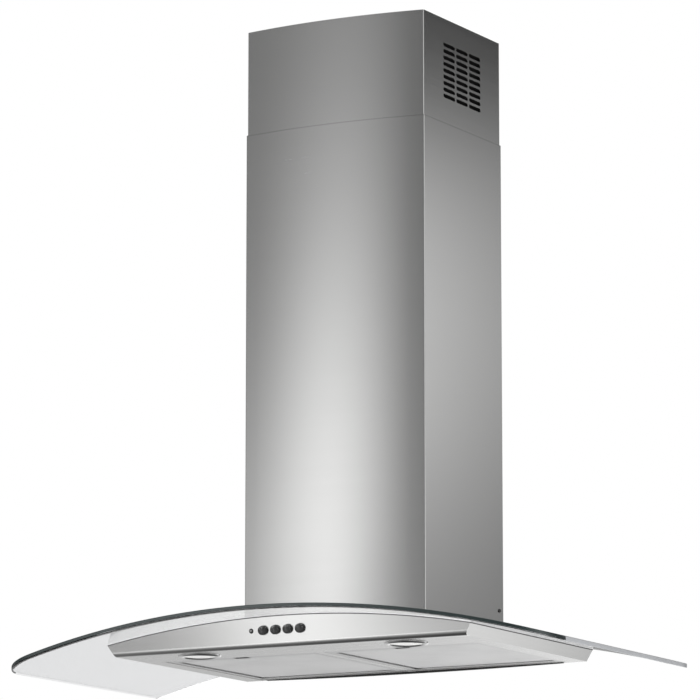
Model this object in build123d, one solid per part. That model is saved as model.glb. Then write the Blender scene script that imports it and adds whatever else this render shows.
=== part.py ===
from build123d import *
import os
from math import asin, atan, copysign, cos, degrees, hypot, radians, sin

# Wall mount range hood with a bent glass canopy. Millimetres, +Z up.
# The wall is the plane y = 0, the front faces -Y, and x = 0 is the middle.
# Heights are drawn from the canopy's bottom edge, and every piece is written with
# the origin at the middle of the two wall screws.

# Glass sheet: arched across its width, bowed at the front
glass_width = 898.0
glass_depth = 473.0
glass_thickness = 6.0
glass_bow = 26.0
glass_corner = 64.0
arch_radius = 1650.0
crown_height = 50.5
seal_thickness = 1.5
seal_width = 10.0

# Steel canopy under the glass, measured along its bottom edge
canopy_width = 574.0
canopy_depth = 384.0
side_flare = 0.61
front_lean = 0.19
canopy_sheet = 1.0
lip_radius = 9.0
lip_return = 14.0
deck_ledge = 7.0

# Underside: lamp strip in front, filter bay behind
front_strip = 90.0
side_rim = 29.5
rear_rim = 7.0
bay_wall = 16.0
bay_recess = 0.5
divider_width = 15.0

# Grease filters
filter_thickness = 10.0
filter_gap = 0.8
filter_border = 8.0
filter_front_bar = 22.0
mesh_thickness = 8.0
mesh_groove = 3.0
mesh_columns = 5
mesh_rows = 20
mesh_strand = 4.0
pivot_radius = 2.0
pivot_length = 2.6
pivot_clearance = 0.06

# Finger latch in the front bar of each filter
latch_width = 24.0
latch_length = 9.0
latch_travel = 4.0
latch_depth = 6.0
latch_clearance = 0.3
latch_wall = 5.0
tongue_width = 10.0
tongue_thickness = 2.0

# Lamps in the strip
lamp_spacing = 340.0
lamp_radius = 32.0
lamp_lens_radius = 24.0
lamp_barrel_radius = 28.0
lamp_rim = 2.0
lamp_crown = 3.0
lamp_cup_height = 22.0
lamp_cup_side = 7.3
lamp_clearance = 0.3

# Push buttons and pilot lamp on the front panel
button_radius = 6.6
button_proud = 6.5
button_shoulder = 4.9
button_round = 1.1
button_travel = 3.0
button_pitch = 20.2
button_first = -35.2
button_height = 24.3
button_clearance = 0.4
button_stem_radius = 3.0
button_stem_clearance = 0.05
button_skirt = 3.0
pilot_radius = 3.3
pilot_offset = 19.8
pilot_proud = 1.6
switch_depth = 16.0
switch_margin = 14.0
switch_height = 19.0
switch_floor = 2.0
switch_post_radius = 3.0

# Chimney: two bow-fronted covers that telescope
chimney_width = 301.0
chimney_side = 244.0
chimney_bow = 14.0
chimney_sheet = 0.8
chimney_flange = 12.0
chimney_corner = 2.0
chimney_seat = 0.3
telescope_gap = 0.6
lower_top = 787.5
upper_reveal = 158.0
upper_length = 500.0

# Vent slots on both sides of the upper cover
slot_length = 36.7
slot_height = 5.9
slot_pitch_y = 40.8
slot_pitch_z = 9.7
slot_columns = 3
slot_rows = 9
slot_drop = 78.0

# Louvres behind the slots
louvre_depth = 9.0
louvre_fall = 7.5
louvre_wall = 1.2
louvre_rim = 2.4
louvre_margin = 6.0

# Chassis on the wall
chassis_sheet = 1.2
chassis_gap = 25.0
chassis_front_gap = 26.0
chassis_flange_above = 58.0
wall_screw_spacing = 208.0
wall_screw_rise = 40.0
wall_hole_radius = 4.0
notch_gap = 3.0
notch_corner = 7.5

# Upper wall bracket
bracket_height = 40.0
bracket_drop = 18.0
bracket_sheet = 1.5
bracket_reach = 45.0
bracket_step = 16.0
bracket_setback = 4.0
bracket_hole_spacing = 200.0
bracket_hole_radius = 3.5
bracket_gap = 0.3

# Blower: double inlet impeller in a volute
impeller_radius = 62.0
impeller_width = 100.0
blade_count = 32
blade_depth = 10.0
blade_thickness = 1.2
blade_angle = 11.0
blade_bulge = 3.3
ring_thickness = 2.5
hub_radius = 11.0
hub_length = 14.0
web_thickness = 2.4
shaft_radius = 4.0
shaft_clearance = 0.05
motor_radius = 38.0
motor_length = 46.0
motor_round = 4.8
motor_gap = 1.0
shaft_end = 11.5
volute_start_gap = 8.0
volute_end_gap = 38.0
volute_tongue_angle = 75.0
volute_side_gap = 14.0
volute_wall = 2.0
volute_points = 8
volute_rear_gap = 12.0
blower_lift = 121.5
outlet_rise = 56.0
inlet_radius = 53.0
inlet_rim = 4.0
bracket_arm = 10.0
capacitor_radius = 15.0
capacitor_length = 62.0
capacitor_round = 2.5

# Duct collar with two flaps
spigot_radius = 75.0
spigot_wall = 2.0
spigot_length = 56.0
spigot_centre = -96.0
adapter_height = 34.0
collar_flange = 12.0
collar_flange_thickness = 3.0
damper_pin_radius = 2.0
damper_pin_clearance = 0.06
pin_seat_clearance = 0.05
flap_thickness = 1.6
flap_gap = 0.8
knuckle_radius = 4.0
knuckle_length = 24.0
knuckle_gap = 0.6
flap_drop = 20.0

# Electrics
box_wall = 2.0
control_length = 120.0
control_depth = 50.0
control_height = 28.0
driver_length = 62.0
driver_depth = 40.0
driver_height = 22.0
electrics_spacing = 8.0
gland_radius = 8.0
gland_bore = 3.5
gland_flange = 4.0
gland_height = 14.0
gland_edge = 24.0

# Screws
glass_screw_radius = 2.5
glass_hole_radius = 4.5
glass_screw_head = 5.0
glass_screw_margin = 13.0
glass_screw_length = 12.0
glass_screw_back = 73.0
bush_flange = 1.5
screw_clearance = 0.25
chimney_screw_radius = 1.9
chimney_screw_head = 2.8
chimney_screw_height = 81.5
chimney_screw_back = 12.7
chimney_screw_length = 8.0
lug_size = 22.0

# How far a cutting shape runs past the face it cuts
over = 1.0

# Worked out from the sizes above
arch_axis = crown_height - arch_radius
glass_under = arch_radius - glass_thickness
deck_radius = glass_under - seal_thickness
panel_angle = degrees(atan(front_lean))
side_step = canopy_sheet * hypot(1, side_flare)
tall = crown_height + 2 * glass_thickness
bay_half = canopy_width / 2 - side_rim
bay_front = -(canopy_depth - front_strip)
bay_rear = -rear_rim
filter_width = bay_half - divider_width / 2 - 2 * filter_gap
filter_middle = (bay_half + divider_width / 2) / 2
filter_radius = filter_thickness / 2
filter_level = bay_recess + filter_radius
filter_pivot = bay_rear - filter_gap - filter_radius
filter_front = bay_front + filter_gap
lamp_y = -(canopy_depth - front_strip / 2)
upper_top = lower_top + upper_reveal
upper_inset = chimney_sheet + telescope_gap
chassis_half = chimney_width / 2 - chassis_gap
chassis_depth = chimney_side - chassis_front_gap
blower_axis = crown_height + blower_lift
volute_start = impeller_radius + volute_start_gap
volute_end = impeller_radius + volute_end_gap
volute_half = impeller_width / 2 + volute_side_gap
blower_y = -(volute_end + volute_rear_gap)
outlet_top = blower_axis + impeller_radius + outlet_rise
chassis_top = outlet_top + chassis_sheet
screw_height = chassis_top + wall_screw_rise
spigot_base = chassis_top + adapter_height
spigot_top = spigot_base + spigot_length
damper_level = spigot_base + flap_drop
sides = (("left", -1), ("right", 1))


def spot(x, y, z):
    """A place as a location."""
    return Location((x, y, z))


def block(x0, x1, y0, y1, z0, z1):
    """A box given by its faces."""
    low = (Align.MIN, Align.MIN, Align.MIN)
    return spot(x0, y0, z0) * Box(x1 - x0, y1 - y0, z1 - z0, align=low)


def bar(radius, length):
    """A round bar that stands on the XY plane."""
    return Cylinder(radius, length, align=(Align.CENTER, Align.CENTER, Align.MIN))


def rod(radius, x0, x1, y, z):
    """A round bar along X from x0 to x1."""
    return spot(x0, y, z) * Rot(0, 90, 0) * bar(radius, x1 - x0)


def post(radius, x, y, z0, z1):
    """A round bar along Z from z0 to z1."""
    return spot(x, y, z0) * bar(radius, z1 - z0)


def dome(edge, low, high):
    """Half the section of a spherical cap, from its edge to its top on the axis."""
    rise = high - low
    radius = (edge ** 2 + rise ** 2) / (2 * abs(rise))
    turn = asin(edge / radius) / 2
    middle = (radius * sin(turn), high - copysign(radius * (1 - cos(turn)), rise))
    return ThreePointArc((edge, low), middle, (0, high))


def arch_face(radius):
    """The round section of the arch in the XZ plane."""
    return Pos(0, arch_axis) * Circle(radius)


def under_arch(radius, depth):
    """Everything below the arch of this radius, from the wall forward."""
    return extrude(Plane.XZ * arch_face(radius), amount=depth)


def arch_spot(x, y):
    """A place on the glass's upper face, its Z axis square to the glass."""
    turn = Rot(0, degrees(asin(x / arch_radius)), 0)
    return spot(0, y, arch_axis) * turn * spot(0, 0, arch_radius)


def canopy_form(side=0.0, back=0.0, top=0.0, bottom=0.0):
    """The canopy's block with its walls moved inward: flared sides and an arched top."""
    low = canopy_width / 2 + side_flare * bottom - side
    high = canopy_width / 2 + side_flare * tall - side
    section = make_face(Polyline((-low, bottom), (low, bottom), (high, tall), (-high, tall), close=True))
    section &= arch_face(deck_radius - top)
    return spot(0, -back, 0) * extrude(Plane.XZ * section, amount=glass_depth)


def lip_form(inset, heel):
    """The space behind the leaning front sheet, from its rounded lower lip back to the heel."""
    step = inset * hypot(1, front_lean)
    top = (-(canopy_depth + front_lean * tall) + step, tall)
    toe = (-(canopy_depth + front_lean * inset) + step, inset)
    face = make_face(Polyline(top, toe, (heel, inset), (heel, tall), close=True))
    face = fillet(face.vertices().sort_by(Axis.X)[1:2], lip_radius - inset)
    return extrude(Plane.YZ * face, amount=glass_width / 2, both=True)


def panel_spot(x, height):
    """A place on the front panel's outer face, its Z axis pointing out of the panel."""
    point = (x, -(canopy_depth + front_lean * height), height)
    out = (0, -cos(radians(panel_angle)), -sin(radians(panel_angle)))
    return Location(Plane(origin=point, x_dir=(1, 0, 0), z_dir=out))


def button_places():
    """The four button places on the front panel, left to right."""
    return [panel_spot(button_first + i * button_pitch, button_height) for i in range(4)]


def glass_screw_places():
    """The four screws that hold the glass, beside and in front of the chassis."""
    beside = chassis_half + glass_screw_margin
    ahead = chassis_depth + notch_gap + glass_screw_margin
    spots = [(-beside, -glass_screw_back), (beside, -glass_screw_back)]
    spots += [(-chassis_half / 2, -ahead), (chassis_half / 2, -ahead)]
    return [arch_spot(x, y) for x, y in spots]


def chassis_notch(gap, corner):
    """The plan of the cut-out round the chassis, open at the wall."""
    width = 2 * (chassis_half + gap)
    length = 2 * (chassis_depth + gap)
    return RectangleRounded(width, length, corner)


def glass_canopy():
    """Bent sheet: a slice of the arch trimmed to its bowed plan."""
    half = glass_width / 2
    shoulder = -(glass_depth - glass_bow)
    plan = make_face([
        Polyline((half, shoulder), (half, 0), (-half, 0), (-half, shoulder)),
        ThreePointArc((-half, shoulder), (0, -glass_depth), (half, shoulder)),
    ])
    plan = fillet(plan.vertices().sort_by(Axis.Y)[:2], glass_corner)
    plan -= chassis_notch(notch_gap, notch_corner)
    section = (arch_face(arch_radius) - arch_face(glass_under)) & Rectangle(glass_width, glass_width)
    sheet = extrude(Plane.XZ * section, amount=glass_depth) & extrude(plan, amount=glass_width, both=True)
    for place in glass_screw_places():
        sheet -= place * Cylinder(glass_hole_radius, 4 * glass_thickness)
    return sheet


def glass_seal():
    """Strip that beds the glass on the deck, along the canopy's sides, front and back."""
    sheet = (canopy_form(top=-seal_thickness) & lip_form(0, 0)) - under_arch(deck_radius, glass_depth)
    middle = Rectangle(canopy_width - 2 * seal_width, canopy_depth - 2 * seal_width)
    inner = Pos(0, -canopy_depth / 2) * middle + chassis_notch(notch_gap, notch_corner)
    return sheet - extrude(inner, amount=glass_width, both=True)


def canopy_shell():
    """Sides, back and arched deck, open below and in front, with the air opening in the deck."""
    inner = canopy_form(side_step, canopy_sheet, canopy_sheet, -tall)
    shell = (canopy_form() & lip_form(0, 0)) - inner - fascia()
    edge = chassis_half - deck_ledge
    shell -= block(-edge, edge, -(chassis_depth - deck_ledge), -deck_ledge, canopy_sheet, tall)
    for place in glass_screw_places():
        shell -= place * Cylinder(glass_screw_radius + screw_clearance, 8 * glass_thickness)
    return shell


def fascia():
    """Leaning front sheet whose lower edge rolls under."""
    heel = -canopy_depth + lip_return
    return (lip_form(0, heel) - lip_form(canopy_sheet, heel)) & canopy_form()


def front_panel():
    """The fascia with its button and pilot holes."""
    panel = fascia()
    for place in button_places():
        panel -= place * Cylinder(button_radius + button_clearance, 4 * canopy_sheet)
    pilot = panel_spot(button_first - pilot_offset, button_height)
    return panel - pilot * Cylinder(pilot_radius + button_clearance, 4 * canopy_sheet)


def bottom_frame():
    """Underside sheet with lamp holes, the filter bay's upstands and the bar between the filters."""
    heel = -canopy_depth + lip_return
    frame = canopy_form(side=side_step, back=canopy_sheet)
    frame &= block(-canopy_width, canopy_width, heel, 0, 0, canopy_sheet)
    frame += block(-bay_half - canopy_sheet, bay_half + canopy_sheet, bay_front - canopy_sheet,
                   bay_rear + canopy_sheet, 0, bay_wall)
    frame -= block(-bay_half, bay_half, bay_front, bay_rear, -over, tall)
    half = divider_width / 2
    rail = block(-half, half, bay_front, bay_rear, bay_recess, bay_wall)
    half -= canopy_sheet
    rail -= block(-half, half, bay_front, bay_rear, bay_recess + canopy_sheet, tall)
    frame += rail
    reach = canopy_width / 2
    frame -= rod(pivot_radius + pivot_clearance, -reach, reach, filter_pivot, filter_level)
    for _, sign in sides:
        frame -= post(lamp_barrel_radius + lamp_clearance, sign * lamp_spacing / 2, lamp_y, -over, tall)
    return frame


def filter_window(margin):
    """The opening of a filter frame in plan, grown by a margin."""
    return block(-filter_width / 2 + filter_border - margin, filter_width / 2 - filter_border + margin,
                 filter_front + filter_front_bar - margin, filter_pivot - filter_border + margin,
                 bay_recess - over, bay_recess + filter_thickness + over)


def latch_pocket(gap=0.0):
    """The space that the latch slides in, or with a gap the latch's own block at rest."""
    front = filter_front + latch_wall
    length = latch_length if gap else latch_length + latch_travel + 2 * latch_clearance
    start = front + (latch_clearance if gap else 0)
    return block(-latch_width / 2 + gap, latch_width / 2 - gap, start, start + length,
                 bay_recess, bay_recess + latch_depth - gap)


def filter_frame():
    """Frame with a rolled rear edge on two pivots, a window for the mesh and the latch's pocket."""
    low = bay_recess
    high = bay_recess + filter_thickness
    rear = filter_pivot + filter_radius
    profile = make_face([
        Polyline((filter_pivot, high), (filter_front, high), (filter_front, low), (filter_pivot, low)),
        ThreePointArc((filter_pivot, low), (rear, filter_level), (filter_pivot, high)),
    ])
    frame = extrude(Plane.YZ * profile, amount=filter_width / 2, both=True)
    frame -= filter_window(0)
    groove = (filter_level - mesh_thickness / 2, filter_level + mesh_thickness / 2)
    frame -= filter_window(mesh_groove) & block(-canopy_width, canopy_width, -canopy_depth, 0, *groove)
    reach = filter_width / 2 + filter_gap + pivot_length
    frame += rod(pivot_radius, -reach, -filter_width / 2, filter_pivot, filter_level)
    frame += rod(pivot_radius, filter_width / 2, reach, filter_pivot, filter_level)
    frame -= latch_pocket()
    gap = latch_clearance
    slot_low = bay_recess + latch_depth / 2 - tongue_thickness / 2 - gap
    slot_high = slot_low + tongue_thickness + 2 * gap
    return frame - block(-tongue_width / 2 - gap, tongue_width / 2 + gap, filter_front - over,
                         filter_front + latch_wall + over, slot_low, slot_high)


def filter_mesh():
    """Expanded mesh panel: one sheet with a grid of openings, held in the frame's groove."""
    window = filter_window(mesh_groove).bounding_box()
    middle = Pos(window.center().X, window.center().Y)
    plan = middle * Rectangle(window.size.X, window.size.Y)
    pitch_x = window.size.X / mesh_columns
    pitch_y = window.size.Y / mesh_rows
    hole = middle * Rectangle(pitch_x - mesh_strand, pitch_y - mesh_strand)
    plan -= [place * hole for place in GridLocations(pitch_x, pitch_y, mesh_columns, mesh_rows)]
    return spot(0, 0, filter_level) * extrude(plan, amount=mesh_thickness / 2, both=True)


def filter_latch():
    """Finger slide with a tongue at the front and a hollow for the fingertip below."""
    slide = latch_pocket(latch_clearance)
    box = slide.bounding_box()
    middle = bay_recess + latch_depth / 2
    slide += block(-tongue_width / 2, tongue_width / 2, filter_front, box.min.Y,
                   middle - tongue_thickness / 2, middle + tongue_thickness / 2)
    hollow = spot(0, box.min.Y + latch_length, bay_recess) * Rot(0, 90, 0)
    return slide - hollow * Cylinder(latch_depth / 2, latch_width - 4 * canopy_sheet)


def lamp_bezel():
    """Turned ring: a rounded rim under the strip and a barrel through it, open for the lens."""
    high = bay_wall / 2
    lip = (lamp_lens_radius, -lamp_rim / 2)
    crest = ((lamp_lens_radius + lamp_radius) / 2, -lamp_crown)
    rim = make_face([
        Polyline((lamp_radius, 0), (lamp_barrel_radius, 0), (lamp_barrel_radius, high),
                 (lamp_lens_radius, high), lip),
        ThreePointArc(lip, crest, (lamp_radius, 0)),
    ])
    return revolve(Plane.XZ * rim, axis=Axis.Z)


def lamp_lens():
    """Shallow domed lens that fills the bezel."""
    edge = lamp_lens_radius
    half = make_face([
        Polyline((0, -lamp_rim), (0, bay_wall / 2), (edge, bay_wall / 2), (edge, -lamp_rim / 2)),
        dome(edge, -lamp_rim / 2, -lamp_rim),
    ])
    return revolve(Plane.XZ * half, axis=Axis.Z)


def lamp_housing():
    """Cup that closes the lamp from above, standing on the bezel."""
    low = bay_wall / 2
    high = low + lamp_cup_height
    neck = lamp_lens_radius / 2
    wide = lamp_barrel_radius
    cup = make_face(Polyline((0, low), (wide, low), (wide, low + lamp_cup_side),
                             (neck, high - box_wall), (neck, high), (0, high), close=True))
    return revolve(Plane.XZ * cup, axis=Axis.Z)


def push_button():
    """Domed cap on a stem, its Z axis out of the panel."""
    foot = -canopy_sheet - button_skirt
    stem_end = foot - button_travel - switch_depth / 2
    half = make_face([
        Polyline((0, button_proud), (0, stem_end), (button_stem_radius, stem_end),
                 (button_stem_radius, foot), (button_radius, foot), (button_radius, button_shoulder)),
        dome(button_radius, button_shoulder, button_proud),
    ])
    half = fillet(half.vertices().sort_by(Axis.Y)[-2:-1], button_round)
    return revolve(Plane.XZ * half, axis=Axis.Z)


def pilot_lens():
    """Small domed lens in the panel, standing on the switch block."""
    seat = -canopy_sheet - button_skirt - button_travel - button_clearance
    half = make_face([
        Polyline((0, pilot_proud), (0, seat), (pilot_radius, seat), (pilot_radius, 0)),
        dome(pilot_radius, 0, pilot_proud),
    ])
    return revolve(Plane.XZ * half, axis=Axis.Z)


def switch_block():
    """Switch housing behind the panel: a bore for each button stem and two posts to the panel."""
    seat = -canopy_sheet - button_skirt - button_travel - button_clearance
    left = button_first - pilot_offset - switch_margin
    right = button_first + 3 * button_pitch + switch_margin
    middle = panel_spot((left + right) / 2, button_height)
    body = middle * spot(0, 0, seat - switch_depth / 2) * Box(right - left, switch_height, switch_depth)
    for end in (left, right):
        inward = switch_post_radius if end == left else -switch_post_radius
        tip = panel_spot(end + inward, button_height) * spot(0, 0, seat)
        body += tip * bar(switch_post_radius, -canopy_sheet - seat)
    bore = Cylinder(button_stem_radius + button_stem_clearance, 2 * (switch_depth - switch_floor))
    for place in button_places():
        body -= place * spot(0, 0, seat) * bore
    return body


def chimney_plan(inset):
    """The chimney's plan: flat back and sides, bowed front, grown inward by an inset."""
    half = chimney_width / 2 - inset
    side = -(chimney_side - inset)
    plan = make_face([
        Polyline((half, side), (half, -inset), (-half, -inset), (-half, side)),
        ThreePointArc((-half, side), (0, side - chimney_bow), (half, side)),
    ])
    return fillet(plan.vertices().sort_by(Axis.Y)[:2], chimney_corner)


def chimney_cover(inset, low, high):
    """A sheet cover: bowed front, two sides, and flanges turned in along the wall."""
    plan = chimney_plan(inset) - chimney_plan(inset + chimney_sheet)
    plan -= Rectangle(chimney_width - 2 * (inset + chimney_flange), 4 * (inset + chimney_sheet))
    return spot(0, 0, low) * extrude(plan, amount=high - low)


def lower_chimney():
    """The outer cover, cut along the glass, with its two screw holes."""
    cover = chimney_cover(0, 0, lower_top) - under_arch(arch_radius + chimney_seat, glass_depth)
    half = chimney_width / 2
    return cover - rod(chimney_screw_radius + screw_clearance, -half - over, half + over,
                       -chimney_screw_back, chimney_screw_height)


def upper_chimney():
    """The inner cover with a block of vent slots through each side."""
    cover = chimney_cover(upper_inset, upper_top - upper_length, upper_top)
    slots = [place * SlotOverall(slot_length, slot_height)
             for place in GridLocations(slot_pitch_y, slot_pitch_z, slot_columns, slot_rows)]
    level = Plane(origin=(0, -chimney_side / 2, upper_top - slot_drop), x_dir=(0, 1, 0), z_dir=(1, 0, 0))
    return cover - extrude(level * Sketch(children=slots), amount=chimney_width, both=True)


def vent_louvre():
    """Moulded insert behind the right side's slots: a rim with a blade that falls inward over each slot."""
    face = chimney_width / 2 - upper_inset - chimney_sheet
    length = slot_pitch_y * (slot_columns - 1) + slot_length + 2 * louvre_margin
    height = slot_pitch_z * (slot_rows - 1) + slot_height + 2 * louvre_margin
    rim = Rectangle(length, height) - Rectangle(length - 2 * louvre_rim, height - 2 * louvre_rim)
    insert = extrude(Plane.YZ * rim, amount=-louvre_depth)
    top = slot_pitch_z / 2
    section = make_face(Polyline((0, top), (-louvre_depth, top - louvre_fall),
                                 (-louvre_depth, top - louvre_fall - louvre_wall), (0, top - louvre_wall),
                                 close=True))
    blade = extrude(Plane.XZ * section, amount=length / 2 - louvre_rim / 2, both=True)
    first = -slot_pitch_z * (slot_rows - 1) / 2
    insert += [spot(0, 0, first + k * slot_pitch_z) * blade for k in range(slot_rows)]
    return spot(face, -chimney_side / 2, upper_top - slot_drop) * insert


def upper_bracket():
    """Hat-shaped wall bracket whose ends bear on the inside of the upper cover's sides."""
    reach = chimney_width / 2 - upper_inset - chimney_sheet - bracket_gap - bracket_sheet / 2
    inner = chimney_width / 2 - upper_inset - chimney_flange - bracket_setback
    back = -bracket_sheet / 2
    half = [(inner, back), (inner, -bracket_step), (reach, -bracket_step), (reach, -bracket_reach)]
    path = Polyline([(-x, y) for x, y in reversed(half)] + half)
    top = upper_top - bracket_drop
    strip = spot(0, 0, top - bracket_height) * extrude(trace(path, bracket_sheet), amount=bracket_height)
    for _, sign in sides:
        hole = spot(sign * bracket_hole_spacing / 2, 0, top - bracket_height / 2) * Rot(90, 0, 0)
        strip -= hole * Cylinder(bracket_hole_radius, 4 * bracket_sheet)
    return strip


def motor_chassis():
    """Folded box, open below, standing on the deck, with the wall flange and the chimney lugs."""
    half = chassis_half
    gauge = chassis_sheet
    box = block(-half, half, -chassis_depth, 0, 0, chassis_top)
    box -= block(-half + gauge, half - gauge, -chassis_depth + gauge, -gauge, -over, outlet_top)
    box += block(-half, half, -gauge, 0, chassis_top, chassis_top + chassis_flange_above)
    wall = chimney_width / 2 - chimney_sheet
    low = chimney_screw_height - lug_size / 2
    high = low + lug_size
    back = -chimney_screw_back
    root = back - lug_size / 2
    arm = block(half, wall, root - gauge, root, low, high)
    arm += block(wall - gauge, wall, root, back + lug_size / 4, low, high)
    box += [arm, mirror(arm, about=Plane.YZ)]
    for _, sign in sides:
        hole = spot(sign * wall_screw_spacing / 2, 0, screw_height) * Rot(90, 0, 0)
        box -= hole * Cylinder(wall_hole_radius, 4 * gauge)
    for x0, x1 in ((-wall - over, -half - over), (half + over, wall + over)):
        box -= rod(chimney_screw_radius + screw_clearance, x0, x1, back, chimney_screw_height)
    inner = volute_half - volute_wall
    rear = blower_y + volute_end - volute_wall
    box -= block(-inner, inner, outlet_front() + volute_wall, rear, outlet_top - over, chassis_top + over)
    gland_x, gland_y = gland_place()
    box -= post(gland_radius + screw_clearance, gland_x, gland_y, outlet_top - over, chassis_top + over)
    return box - under_arch(deck_radius, glass_depth)


def outlet_front():
    """The front edge of the volute's outlet."""
    return blower_y + volute_start * cos(radians(volute_tongue_angle)) - volute_start_gap


def gland_place():
    """Where the mains lead comes through the chassis."""
    return chassis_half - gland_edge, -gland_edge


def volute_face(inset):
    """Logarithmic spiral from the tongue round to the outlet, which leaves straight up."""
    start = volute_start - inset
    end = volute_end - inset
    turn = 360 - volute_tongue_angle

    def point(k):
        part = k / volute_points
        angle = radians(volute_tongue_angle + turn * part)
        radius = start * (end / start) ** part
        return blower_y + radius * cos(angle), blower_axis + radius * sin(angle)

    rear = blower_y + end
    tongue = point(0)
    spiral = Spline([point(k) for k in range(volute_points + 1)])
    duct = Polyline((rear, blower_axis), (rear, outlet_top), (outlet_front() + inset, outlet_top), tongue)
    return make_face([spiral, duct])


def volute_half_shell():
    """One half of the volute: spiral wall, side wall and a rolled inlet rim."""
    shell = extrude(Plane.YZ * volute_face(0), amount=volute_half)
    shell -= extrude(Plane.YZ * volute_face(volute_wall), amount=volute_half - volute_wall)
    shell += rod(inlet_radius + inlet_rim, volute_half, volute_half + inlet_rim, blower_y, blower_axis)
    return shell - rod(inlet_radius, 0, volute_half + 2 * inlet_rim, blower_y, blower_axis)


def impeller():
    """Two rows of forward-curved blades on a middle web, closed by end rings."""
    inner = impeller_radius - blade_depth
    half = impeller_width / 2

    def polar(radius, angle):
        return radius * cos(radians(angle)), radius * sin(radians(angle))

    middle = (inner + impeller_radius) / 2
    gauge = degrees(blade_thickness / middle)
    front, back = [
        (polar(inner, turn), polar(middle, blade_bulge + turn), polar(impeller_radius, blade_angle + turn))
        for turn in (0, gauge)
    ]
    blade = make_face([
        ThreePointArc(*front), Line(front[2], back[2]), ThreePointArc(*back), Line(back[0], front[0]),
    ])
    row = extrude(Plane.YZ * blade, amount=half, both=True)
    web = rod(impeller_radius, -web_thickness / 2, web_thickness / 2, 0, 0)
    web += rod(hub_radius, -hub_length / 2, hub_length / 2, 0, 0)
    ring = rod(impeller_radius, 0, ring_thickness, 0, 0) - rod(inner, -over, ring_thickness + over, 0, 0)
    rings = [spot(half - ring_thickness, 0, 0) * ring, spot(-half, 0, 0) * ring]
    wheel = web + rings + [Rot(360 * k / blade_count, 0, 0) * row for k in range(blade_count)]
    wheel -= rod(shaft_radius, -hub_length, hub_length, 0, 0)
    return spot(0, blower_y, blower_axis) * wheel


def motor_end():
    """The face of the motor that the bracket holds."""
    return -hub_length / 2 - motor_gap - motor_length


def motor():
    """Motor can with rounded shoulders, bored for the shaft."""
    can = rod(motor_radius, motor_end(), motor_end() + motor_length, 0, 0)
    can = fillet(can.edges().filter_by(GeomType.CIRCLE), motor_round)
    can -= rod(shaft_radius + shaft_clearance, motor_end() - over, 0, 0, 0)
    return spot(0, blower_y, blower_axis) * can


def motor_shaft():
    """Shaft from the motor's bore through the hub."""
    return rod(shaft_radius, motor_end() + shaft_end, hub_length, blower_y, blower_axis)


def motor_bracket():
    """Three arms from the left inlet rim to the motor's end."""
    face = -(volute_half + inlet_rim)
    gauge = 2 * chassis_sheet
    outer = inlet_radius + inlet_rim
    ring = rod(outer, face - gauge, face, 0, 0) - rod(inlet_radius, face - 2 * gauge, face + over, 0, 0)
    ring += rod(motor_radius / 2, face - gauge, motor_end(), 0, 0)
    arm = block(face - gauge, face, -bracket_arm / 2, bracket_arm / 2, 0, inlet_radius + inlet_rim / 2)
    ring += [Rot(120 * k, 0, 0) * arm for k in range(3)]
    return spot(0, blower_y, blower_axis) * ring


def motor_capacitor():
    """Motor capacitor standing under the chassis top."""
    x = volute_half + (chassis_half - volute_half) / 2
    y = -(chassis_depth - 2 * capacitor_radius)
    can = post(capacitor_radius, x, y, outlet_top - capacitor_length, outlet_top)
    return fillet(can.edges().filter_by(GeomType.CIRCLE).sort_by(Axis.Z)[:1], capacitor_round)


def outlet_spigot():
    """Collar that runs from the square outlet to the round duct."""
    half = volute_half
    rear = blower_y + volute_end
    front = outlet_front()
    middle = (front + rear) / 2

    def tube(inset):
        width, depth = 2 * (half - inset), rear - front - 2 * inset
        base = Pos(0, middle) * RectangleRounded(width, depth, 2 * spigot_wall)
        mouth = Pos(0, spigot_centre) * Circle(spigot_radius - inset)
        funnel = loft([Pos(0, 0, chassis_top) * base, Pos(0, 0, spigot_base) * mouth])
        return funnel + Pos(0, 0, spigot_base) * extrude(mouth, amount=spigot_length)

    flange = block(-half - collar_flange, half + collar_flange, front - collar_flange,
                   rear + volute_rear_gap / 2, chassis_top, chassis_top + collar_flange_thickness)
    collar = flange + tube(0) - tube(spigot_wall)
    return collar - rod(damper_pin_radius + pin_seat_clearance, -spigot_radius - over, spigot_radius + over,
                        spigot_centre, damper_level)


def damper_pin():
    """Pin across the collar that both flaps hang on."""
    return rod(damper_pin_radius, -spigot_radius, spigot_radius, spigot_centre, damper_level)


def damper_flap(sign):
    """Half disc with two knuckles on the pin; the other flap's knuckles lie between them."""
    radius = spigot_radius - spigot_wall - flap_gap
    clear = knuckle_radius + knuckle_gap
    disc = Circle(radius) & Pos(0, sign * (radius + clear)) * Rectangle(2 * radius, 2 * radius)
    flap = extrude(disc, amount=flap_thickness / 2, both=True)
    pitch = knuckle_length + knuckle_gap
    first = (-1.5 if sign > 0 else -0.5) * pitch
    reach = sorted((0, sign * (clear + over)))
    for k in range(2):
        x = first + 2 * k * pitch
        low, high = x - knuckle_length / 2, x + knuckle_length / 2
        flap += rod(knuckle_radius, low, high, 0, 0)
        flap += block(low, high, reach[0], reach[1], -flap_thickness / 2, flap_thickness / 2)
    flap -= rod(damper_pin_radius + damper_pin_clearance, -spigot_radius, spigot_radius, 0, 0)
    return spot(0, spigot_centre, damper_level) * flap


def tray(x0, length, depth, height):
    """An open plastic tray on the lamp strip."""
    rear = bay_front - electrics_spacing
    low = canopy_sheet
    box = block(x0, x0 + length, rear - depth, rear, low, low + height)
    return box - block(x0 + box_wall, x0 + length - box_wall, rear - depth + box_wall, rear - box_wall,
                       low + box_wall, low + height + over)


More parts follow.
